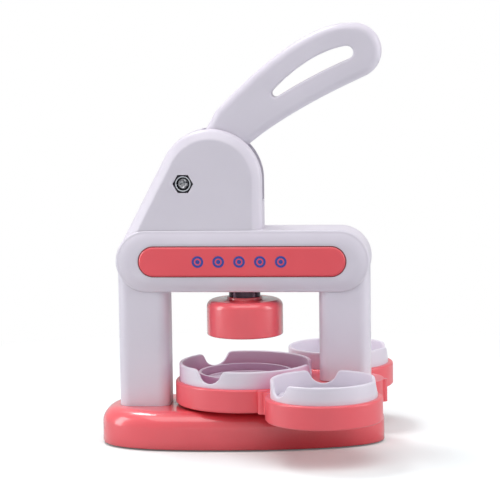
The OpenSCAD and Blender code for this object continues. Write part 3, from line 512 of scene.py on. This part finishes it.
def fillMarks(bm):
    y = -(beam["front"] + beam["panel"] + beam["proud"])
    back, face = y + marks["root"], y - marks["lift"]
    for i in range(marks["discs"]):
        x = marks["centreX"] + marks["pitch"] * (i - (marks["discs"] - 1) / 2)
        outer, inner, dot = [circle((x, beam["middle"]), marks[k]) for k in ("radius", "ring", "dot")]
        addRings(bm, [upright(outer, back), upright(outer, face), upright(inner, face), upright(inner, back)],
                 loop=True)
        addRings(bm, [upright(dot, back), upright(dot, face)])


makePiece("inlay_marks_printed", fillMarks, "blue", "base")
print("beam made")


# Hood: two half shells round the lever's hub. softened is how far the three corners of its section are
# rounded, and the screws are places in X and Z
hood = {"x": -22.5, "z": 190, "r": 37, "half": 16, "bevel": 7, "depth": 5, "wall": 2.6, "steps": 96,
        "overlap": 3, "past": 4, "seam": 0.25, "seamD": 0.3, "softened": (0.1, 3.2, 1.1),
        "slotHalf": 7.4, "slotLeft": -28.9, "slotLow": 175.4, "slotUp": 20, "shoulder": 10, "skin": 5.6,
        "clear": 2, "nutDepth": 6, "pocketAcross": 13,
        "screws": ((-62, 163.3), (-48, 163.3)), "screwR": 3.1, "screwDepth": 4.2}


# A round top with a straight left side that meets the beam's round end
def hoodOutline():
    end = Vector((-(beam["length"] - beam["height"]) / 2, beam["middle"]))
    centre = Vector((hood["x"], hood["z"]))
    apart = centre - end
    slant = math.atan2(apart.y, apart.x) + math.asin((hood["r"] - beam["height"] / 2) / apart.length)
    ahead = Vector((math.cos(slant), math.sin(slant)))
    across = Vector((-math.sin(slant), math.cos(slant)))
    foot = end + beam["height"] / 2 * across + hood["overlap"] * ahead
    top = arc(centre, hood["r"], 0, 90 + math.degrees(slant), hood["steps"])
    return top + [tuple(foot), (hood["x"] + hood["r"], foot.y)]


# Rounds the corners of an open path: each inner point is cut back by its reach on both sides
def soften(path, reaches, steps=6):
    out = [path[0]]
    for i in range(1, len(path) - 1):
        here = Vector(path[i])
        back = (Vector(path[i - 1]) - here).normalized() * reaches[i - 1]
        ahead = (Vector(path[i + 1]) - here).normalized() * reaches[i - 1]
        out += bend(here + back, here, here + ahead, steps)
    return out + [path[-1]]


# An outline in X and Z drawn out in depth
def prism(bm, outline, start, end):
    addRings(bm, [upright(outline, start), upright(outline, end)])


def fillHood(side):
    def fill(bm):
        outline = hoodOutline()
        half, wall, bevel = hood["half"], hood["wall"], hood["bevel"]
        straight = half - hood["depth"]
        outer = soften([(0, hood["seam"]), (hood["seamD"], 0), (straight, 0), (half, bevel),
                        (half, bevel + hood["past"])], hood["softened"])
        inner = [(0, wall), (straight - wall / 2, wall), (half - wall, bevel + wall / 2)]
        layers = list(reversed(inner)) + outer
        addRings(bm, [upright(inset(outline, d), side * y) for y, d in layers])
    return fill


# Room for the lever, the hex pocket, the beam's end, and screw holes in the rear shell. The cutting
# tools run 0.5 to 1 mm past what they cut
def fillHoodCut(side):
    def fill(bm):
        x, z, r, half, clear = (hood[k] for k in ("x", "z", "r", "half", "clear"))
        left, low, shoulder = hood["slotLeft"], hood["slotLow"], z + hood["shoulder"]
        inside = x + r - hood["skin"]
        slot = [(left, z + hood["slotUp"]), (inside, shoulder), (inside, low), (x + r + clear, low),
                (x + r + clear, z + r + clear), (left, z + r + clear)]
        prism(bm, slot, side * -0.5, side * hood["slotHalf"])
        pocket = circle(pivotAt, hood["pocketAcross"] / 2 / math.cos(math.pi / 6), 6)
        prism(bm, pocket, side * (half - hood["nutDepth"]), side * (half + 1))
        beamEnd = [(px, pz + beam["middle"]) for px, pz in stadium(beam["length"], beam["height"])]
        prism(bm, beamEnd, side * -1, side * (half + 1))
        if side > 0:
            for at in hood["screws"]:
                prism(bm, circle(at, hood["screwR"]), half - hood["screwDepth"], half + 1)
    return fill


for side, word in ((-1, "front"), (1, "rear")):
    shell = makePiece("hood_" + word + "_moulding", fillHood(side), "white", "base",
                      ["hood_" + word + "_shell"], 34)
    cutWith(shell, "hood_cut", fillHoodCut(side), 34)
print("hood made")


# Lever: its round end stands reach and rise from the pivot. Its edges are rounded by inset and depth,
# and a nose inside the hood carries the pin that drives the ram
lever = {"reach": 121.9, "rise": 93.1, "half": 7, "inset": 6.2, "depth": 6.2, "hubR": 13, "endR": 19.8,
         "gripR": 4.6, "tipR": 2.6, "slotRound": 1.4, "pin": (0.8, 199.79), "noseR": 7, "noseHalf": 4}


# A place on the lever, as shares of its reach and rise from the pivot
def along(x, z):
    return Vector((pivotAt[0] + x * lever["reach"], pivotAt[1] + z * lever["rise"]))


# A place near the round end, in radii of it
def nearEnd(x, z):
    return along(1, 1) + lever["endR"] * Vector((x, z))


# The hub, the under side with its elbow, the round end, and the back
def leverOutline():
    def around(turn):
        return nearEnd(math.cos(math.radians(turn)), math.sin(math.radians(turn)))

    return (arc(pivotAt, lever["hubR"], 136, 320, 40) + [along(0.31, 0.166)]
            + bend(along(0.342, 0.247), along(0.581, 0.523), around(-62), 30)
            + arc(along(1, 1), lever["endR"], -50, 84, 32)
            + bend(around(96), along(0.695, 1.227), along(0.188, 0.548), 36) + [along(0.12, 0.387)])


# The finger slot: a narrow tip and a wider far end, joined by two bent sides
def slotOutline():
    tip, far = nearEnd(-2.83, -1.51), nearEnd(-0.24, -0.055)
    narrow, wide = lever["tipR"], lever["gripR"]
    under = (tip + narrow * Vector((0.65, -0.8)), far + wide * Vector((0.46, -0.94)))
    over = (far + wide * Vector((-0.3, 1)), tip + narrow * Vector((-0.35, 1.2)))
    return (arc(tip, narrow, 140, 290, 20) + bend(under[0], nearEnd(-1.56, -0.88), under[1], 20)
            + arc(far, wide, -58, 88, 20) + bend(over[0], nearEnd(-1.553, -0.043), over[1], 20))


# Two rounded walls, with flat faces between the outline and the slot, and the nose
def fillLever(bm):
    half, steps = lever["half"], 10
    turns = [math.radians(90 * i / steps) for i in range(steps + 1)]

    def wall(outline, reach, depth):
        front = [(half - depth + depth * math.sin(t), reach * (1 - math.cos(t))) for t in turns]
        layers = [(-y, d) for y, d in reversed(front)] + front
        return addRings(bm, [upright(inset(outline, d), y) for y, d in layers], closed=False)

    outer = wall(leverOutline(), lever["inset"], lever["depth"])
    hole = wall(slotOutline(), -lever["slotRound"], lever["slotRound"])
    for end in (0, -1):
        edges = []
        for loop in (outer[end], hole[end]):
            for i, vert in enumerate(loop):
                edges.append(bm.edges.get((vert, loop[(i + 1) % len(loop)])))
        bmesh.ops.triangle_fill(bm, edges=edges, use_beauty=True)
    pin, r = lever["pin"], lever["noseR"]
    turn = math.degrees(math.atan2(pin[1] - pivotAt[1], pin[0] - pivotAt[0]))
    nose = arc(pin, r, turn - 90, turn + 90, 24) + arc(pivotAt, r, turn + 90, turn + 270, 24)
    prism(bm, nose, -lever["noseHalf"], lever["noseHalf"])


makePiece("lever_moulding", fillLever, "white", "lever", ["lever"], 40)
print("lever made")


# Press head: a seat for the face pad below, and a low boss above that holds the collar. The boss steps
# and the collar's edge hold radial offsets and heights
head = {"z": 78, "height": 25.5, "radius": 27.5, "round": 5, "lip": 1.2, "pad": 23.5, "padDepth": 2,
        "padEdge": 0.3, "collarR": 11.3, "collarGap": 0.1, "collarBore": 9.05,
        "bossT": 1.6, "bossH": 2.2, "bossFoot": ((0.9, 0), (0.3, 0.25), (0, 0.8)),
        "bossEdge": ((0, -0.5), (-0.15, -0.15), (-0.5, 0)),
        "collarEdge": ((0, -0.7), (-0.15, -0.2), (-0.6, 0))}


def nodeTop(name):
    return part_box(name)[1].z * 1000


def fillHead(bm):
    low, r, lip, pad = head["z"], head["radius"], head["lip"], head["pad"]
    high, turn = low + head["height"], head["round"]
    profile = [(0, low + head["padDepth"]), (pad, low + head["padDepth"]), (pad, low + head["padEdge"]),
               (pad + head["padEdge"], low), (r - lip, low)]
    profile += arc((r - lip, low + lip), lip, -90, 0, 8)
    profile += arc((r - turn, high - turn), turn, 0, 90, 16)
    boss, crest = head["collarR"] + head["bossT"], high + head["bossH"]
    seat = head["collarR"] + head["collarGap"]
    profile += [(boss + x, high + z) for x, z in head["bossFoot"]]
    profile += [(boss + x, crest + z) for x, z in head["bossEdge"]]
    addTurned(bm, profile + [(seat, crest), (seat, high), (0, high)], steps=160)


def fillCollar(bm):
    foot, top = head["z"] + head["height"], nodeTop("ram_collar")
    r, bore = head["collarR"], head["collarBore"]
    edge = [(r + x, top + z) for x, z in head["collarEdge"]]
    addTurned(bm, [(bore, foot), (r, foot)] + edge + [(bore, top)])


makePiece("press_head_moulding", fillHead, "coralGloss", "ram", ["press_head"], 40)
makePiece("ram_collar_turned", fillCollar, "darkSteel", "ram", ["ram_collar"], 28)

# Return spring: its end turns lie flat, 0.9 of a wire apart. The real spring shortens as the ram comes down,
# so its foot stays on the guide bush; here it is built once to the CAD spring's box, rides on the ram, and
# gets a mesh of its own
spring = {"turns": 6, "wire": 1.6, "endTurns": 0.8, "endRise": 0.9, "steps": 24, "sides": 12}


def fillSpring(bm):
    low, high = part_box("return_spring")
    wire, turns, ends = spring["wire"], spring["turns"], spring["endTurns"]
    reach, foot = high.x * 1000 - wire / 2, low.z * 1000 + wire / 2
    rise, step = (high.z - low.z) * 1000 - wire, spring["endRise"] * wire
    rings = []
    for i in range(turns * spring["steps"] + 1):
        t = i / spring["steps"]
        up = step + (rise - 2 * step) * (t - ends) / (turns - 2 * ends)
        if t < ends:
            up = step * t / ends
        if t > turns - ends:
            up = rise - step * (turns - t) / ends
        a = 2 * math.pi * t
        ring = []
        for k in range(spring["sides"]):
            b = 2 * math.pi * k / spring["sides"]
            r = reach + wire / 2 * math.cos(b)
            ring.append((r * math.cos(a), r * math.sin(a), foot + up + wire / 2 * math.sin(b)))
        rings.append(ring)
    addRings(bm, rings)


coil = makePiece("return_spring_coiled", fillSpring, "groundSteel", "ram", ["return_spring"], 40)
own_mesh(coil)
print("press head, collar and return spring made")


# Dies: three cups on the tray, the side ones a turn away from the centre one, and each ring has three
# thumb notches with a round floor
tray = {"well": 31.5, "ringTop": 58, "wall": 2.4, "centreR": 47.9, "sideR": 37.3, "footT": 2.5,
        "land": 0.1, "frontTurn": 81, "rearTurn": 82.5, "notchDepth": 9.5, "notchFloor": 11}


# The middle of the cup that this turn brings under the head
def cupAt(degrees):
    turn = math.radians(degrees)
    return (legX * (1 - math.cos(turn)), legX * math.sin(turn))


# Half width of a thumb notch and its height above the notch's floor
notchShape = [(7.78, 3.22), (8.7, 4.5), (9.5, 5.9), (10.1, 7.0), (10.6, 7.8), (11.2, 8.5), (12.0, 9.05),
              (13.0, 9.38), (14.2, 9.5)]


# How far a notch has risen from its floor, at this half width
def notchRise(side):
    floor = tray["notchFloor"]
    if side < notchShape[0][0]:
        return floor - math.sqrt(floor * floor - side * side)
    for (x0, z0), (x1, z1) in zip(notchShape, notchShape[1:]):
        if side < x1:
            return z0 + (z1 - z0) * (side - x0) / (x1 - x0)
    return tray["notchDepth"]


def fillRing(at, outer, notches, foot):
    inner, well, step = outer - tray["wall"], tray["well"], tray["well"] + tray["footT"]
    edge = tray["wall"] / 2 - tray["land"]

    def section(turn):
        drop = 0
        for notch in notches:
            off = math.remainder(turn - math.radians(notch), 2 * math.pi)
            if abs(off) < math.pi / 2:
                drop = max(drop, tray["notchDepth"] - notchRise(abs(math.sin(off)) * outer))
        top = tray["ringTop"] - drop
        points = [(inner - foot, well), (outer, well)]
        points += arc((outer - edge, top - edge), edge, 0, 90, 6)
        points += arc((inner + edge, top - edge), edge, 90, 180, 6)
        return points + [(inner, step), (inner - foot, step)]

    def fill(bm):
        addTurned(bm, None, at, 420, section)
    return fill


# Each ring's middle, radius, notches in degrees, the reach of its foot inwards, and its look
dies = {
    "centre_die_ring": ((0, 0), tray["centreR"], (0, 124.5, 241.5), 6.0, "whiteDie"),
    "front_die_ring": (cupAt(-tray["frontTurn"]), tray["sideR"], (3, 94, 213.5), 0.01, "white"),
    "rear_die_ring": (cupAt(tray["rearTurn"]), tray["sideR"], (6, 96, 276), 0.01, "white"),
}
for name, (at, outer, notches, foot, look) in dies.items():
    makePiece(name + "_moulding", fillRing(at, outer, notches, foot), look, "tray", [name], 50)
print("die rings made", len(dies))


# Pivot bolt and nut, along Y. A hex ring holds its depth and the radius that its corners are turned to,
# a round ring its depth and radius. The thread's root, rise and taper are radii
pivot = {"across": 12.6, "front": -15.2, "back": -10, "bolt": 8, "pitch": 1.25, "headEnd": 15.2,
         "boltEnd": -15.35, "steps": 96, "shankGap": 0.05, "fillet": 0.4, "pastNut": 1,
         "threadFrom": 0.6, "threadRows": 70, "root": 3.3, "rise": 0.62, "tip": 3.05, "taper": 0.87,
         "taperL": 0.9}
# From the nut's back, then from its front
nutBack, nutCorners = ((0, 6.2), (-0.9, 7.4)), ((1.5, 7.4), (0.25, 5.75))
nutFace = ((0.2, 5.6), (0.3, 4.7), (1, 4.1))
nutBore = 4.05
# The ground land of the nut's face
landRings = ((0.3, 5.5), (0.08, 5.5), (0, 5.4), (0, 4.85), (0.1, 4.75), (0.3, 4.75))
# The bolt's head from its dished top to its far side, and the sheared tip
headRings = ((-0.5, 5.6), (-0.35, 6.2), (0, 6.5), (-0.5, 7.6))
headUnder = ((0.5, 7.6), (0, 6.9))
tipRings = ((0, 2.7), (0.5, 2.3), (0.9, 1.1))


# A ring round the bolt's axis, with a radius for each of its steps
def pivotRing(y, reach):
    steps = pivot["steps"]
    turns = [2 * math.pi * i / steps for i in range(steps)]
    return [(pivotAt[0] + r * math.cos(a), y, pivotAt[1] + r * math.sin(a)) for a, r in zip(turns, reach)]


def hexRing(y, cap):
    half, steps = pivot["across"] / 2, pivot["steps"]
    turns = [2 * math.pi * i / steps for i in range(steps)]
    return pivotRing(y, [min(half / math.cos(math.remainder(a + math.pi / 6, math.pi / 3)), cap)
                         for a in turns])


def roundRing(y, radius):
    return upright(circle(pivotAt, radius, pivot["steps"]), y)


def fillNut(bm):
    front, back = pivot["front"], pivot["back"]
    rings = [hexRing(back + y, cap) for y, cap in nutBack]
    rings += [hexRing(front + y, cap) for y, cap in nutCorners]
    rings += [roundRing(front + y, r) for y, r in nutFace]
    addRings(bm, rings + [roundRing(back, nutBore)], loop=True)


def fillLand(bm):
    addRings(bm, [roundRing(pivot["front"] + y, r) for y, r in landRings], loop=True)


def fillBolt(bm):
    steps, rows, back, last = pivot["steps"], pivot["threadRows"], pivot["back"], pivot["boltEnd"]
    shank, first, fillet = pivot["bolt"] / 2 - pivot["shankGap"], back + pivot["threadFrom"], pivot["fillet"]
    rings = [hexRing(pivot["headEnd"] + y, cap) for y, cap in headRings]
    rings += [hexRing(-back + y, cap) for y, cap in headUnder]
    rings += [roundRing(-back, shank + fillet), roundRing(-back - fillet, shank),
              roundRing(back + pivot["pastNut"], shank)]
    for row in range(rows + 1):
        y = first + (last - first) * row / rows
        taper = pivot["tip"] + pivot["taper"] * min(1, (y - last) / pivot["taperL"])
        crests = [1 - abs(2 * ((y / pivot["pitch"] + i / steps) % 1) - 1) for i in range(steps)]
        rings.append(pivotRing(y, [min(pivot["root"] + pivot["rise"] * crest, taper) for crest in crests]))
    addRings(bm, rings + [roundRing(last + y, r) for y, r in tipRings])


makePiece("pivot_nut_chamfered", fillNut, "nutShadeSteel", "base", ["pivot_nut"], 20)
makePiece("pivot_nut_land", fillLand, "zinc", "base", (), 20)
makePiece("pivot_bolt_threaded", fillBolt, "shearedSteel", "base", ["pivot_bolt"], 40)
print("nut and bolt made")


# CAD pieces whose shape is right keep it, and get a look and rounded edges
def paint(obj, look):
    obj.data.materials.clear()
    obj.data.materials.append(materials[look])


# Rounds the edges of a carried-over piece without touching its mesh
def dress(obj, widthMm):
    weld = obj.modifiers.new("weld", "WELD")
    weld.merge_threshold = 0.00001
    flat = obj.modifiers.new("flat", "DECIMATE")
    flat.decimate_type = "DISSOLVE"
    flat.angle_limit = math.radians(0.5)
    edge = obj.modifiers.new("edge", "BEVEL")
    edge.width = widthMm / 1000
    edge.segments = 3
    edge.limit_method = "ANGLE"
    edge.angle_limit = math.radians(38)
    edge.use_clamp_overlap = True
    edge.miter_outer = "MITER_ARC"
    normals = obj.modifiers.new("normals", "WEIGHTED_NORMAL")
    normals.keep_sharp = True


edgeWidths = {"die_tray": 0.5, "others": 0.3}
lookOf = {s["node"]: slotLook[s["material_slot"]] for s in frame["record"]["subparts"]}
# the centre die's inner ring and core share that look, with its painted shade and coral bounce light
lookOf.update({"die_tray": "coralSatin", "ram_shaft": "groundSteel", "yoke_pin": "groundSteel",
               "centre_die_inner_ring": "whiteDie", "centre_die_core": "whiteDie"})
shown = {name: obj for name, obj in nodes.items() if not obj.hide_render}
for name, obj in shown.items():
    paint(obj, lookOf[name])
    dress(obj, edgeWidths.get(name, edgeWidths["others"]))
print("carried-over pieces dressed", len(shown))


# Studio: soft boxes over and beside a white paper sweep
plainWhite = (1.0, 1.0, 1.0, 1.0)


def areaLight(name, place, aim, size, power):
    data = bpy.data.lights.new(name, "AREA")
    data.shape = "RECTANGLE"
    data.size, data.size_y = size
    data.energy = power
    light = bpy.data.objects.new(name, data)
    light.location = place
    light.rotation_euler = (Vector(aim) - Vector(place)).to_track_quat("-Z", "Y").to_euler()
    scene.collection.objects.link(light)


# Light from the room: a tint of this strength on matt surfaces, white of the strength mirrored in
# glossy ones, and plain white behind the part
def makeWorld(strength, mirrored, tint):
    world = bpy.data.worlds.new("studio")
    world.use_nodes = True
    tree = world.node_tree
    tree.nodes.clear()
    rays = addNode(tree, "ShaderNodeLightPath")
    soft = addNode(tree, "ShaderNodeBackground", {"Color": tint, "Strength": strength})
    seen = addNode(tree, "ShaderNodeBackground", {"Color": plainWhite, "Strength": 1.0})
    glossy = addNode(tree, "ShaderNodeBackground", {"Color": plainWhite, "Strength": mirrored})
    lit = addNode(tree, "ShaderNodeMixShader", None, {
        0: rays.outputs["Is Glossy Ray"], 1: soft.outputs["Background"], 2: glossy.outputs["Background"]})
    both = addNode(tree, "ShaderNodeMixShader", None, {
        0: rays.outputs["Is Camera Ray"], 1: lit.outputs["Shader"], 2: seen.outputs["Background"]})
    addNode(tree, "ShaderNodeOutputWorld", None, {"Surface": both.outputs["Shader"]})
    scene.world = world


# The paper shades under the part and fades to clean white away from it. The part gets less light back
# from it than the camera sees. Its fibres are 0.8 mm wide, in metres 0.00002 deep
sweep = {"half": 6.0, "lift": 0.1, "fadeFrom": 0.2, "fadeTo": 0.5, "seen": (0.82, 0.87, 0.865, 1.0),
         "bounced": (0.58, 0.61, 0.61, 1.0), "fibreMm": 0.8, "fibreDepth": 0.00002}


def makeFloor():
    half = sweep["half"]
    corners = [(-half, -half, 0), (half, -half, 0), (half, half, 0), (-half, half, 0)]
    mesh = bpy.data.meshes.new("floor")
    mesh.from_pydata(corners, [], [(0, 1, 2, 3)])
    floor = bpy.data.objects.new("floor", mesh)
    material, tree = newMaterial("paper_backdrop_matte")
    rays = addNode(tree, "ShaderNodeLightPath")
    place = addNode(tree, "ShaderNodeTexCoord").outputs["Object"]
    away = addNode(tree, "ShaderNodeVectorMath", {"operation": "LENGTH"}, {0: place}).outputs["Value"]
    fibres = noiseOf(tree, place, sweep["fibreMm"], 4.0, 0.7)
    relief = addNode(tree, "ShaderNodeBump", {"Strength": 1.0, "Distance": sweep["fibreDepth"]},
                     {"Height": fibres})
    paper = addNode(tree, "ShaderNodeBsdfDiffuse", {"Color": sweep["seen"]},
                    {"Normal": relief.outputs["Normal"]})
    glow = addNode(tree, "ShaderNodeEmission", {"Color": plainWhite, "Strength": sweep["lift"]})
    near = addNode(tree, "ShaderNodeAddShader", None, {0: paper.outputs["BSDF"], 1: glow.outputs["Emission"]})
    clean = addNode(tree, "ShaderNodeEmission", {"Color": plainWhite, "Strength": 1.0})
    fade = ramp(tree, away, sweep["fadeFrom"], sweep["fadeTo"], 0.0, 1.0)
    seen = addNode(tree, "ShaderNodeMixShader", None, {
        0: fade, 1: near.outputs["Shader"], 2: clean.outputs["Emission"]})
    bounce = addNode(tree, "ShaderNodeBsdfDiffuse", {"Color": sweep["bounced"]})
    both = addNode(tree, "ShaderNodeMixShader", None, {
        0: rays.outputs["Is Camera Ray"], 1: bounce.outputs["BSDF"], 2: seen.outputs["Shader"]})
    addNode(tree, "ShaderNodeOutputMaterial", None, {"Surface": both.outputs["Shader"]})
    mesh.materials.append(material)
    scene.collection.objects.link(floor)


# Each light's place, aim and size in metres, and its power in watts
lights = {
    "leftBox": ((-0.95, -0.2, 0.36), (0, 0, 0.08), (0.3, 0.8), 3.6),
    "rightBox": ((1.15, -0.1, 0.45), (0, 0, 0.1), (0.5, 1.0), 5.2),
    "topBox": ((-0.6, 0.5, 1.6), (0, 0, 0.1), (0.55, 0.4), 11.0),
    "wideTop": ((0.15, -1.05, 2.95), (0, 0, 0.1), (3.6, 1.95), 44.0),
    "lowFill": ((0.2, -1.1, 0.1), (0, 0, 0.03), (1.2, 0.25), 0.4),
}
makeWorld(strength=0.42, mirrored=0.6, tint=(0.95, 0.95, 1.0, 1.0))
makeFloor()
for name, (place, aim, size, power) in lights.items():
    areaLight(name, place, aim, size, power)
print("studio made, lights", len(lights))
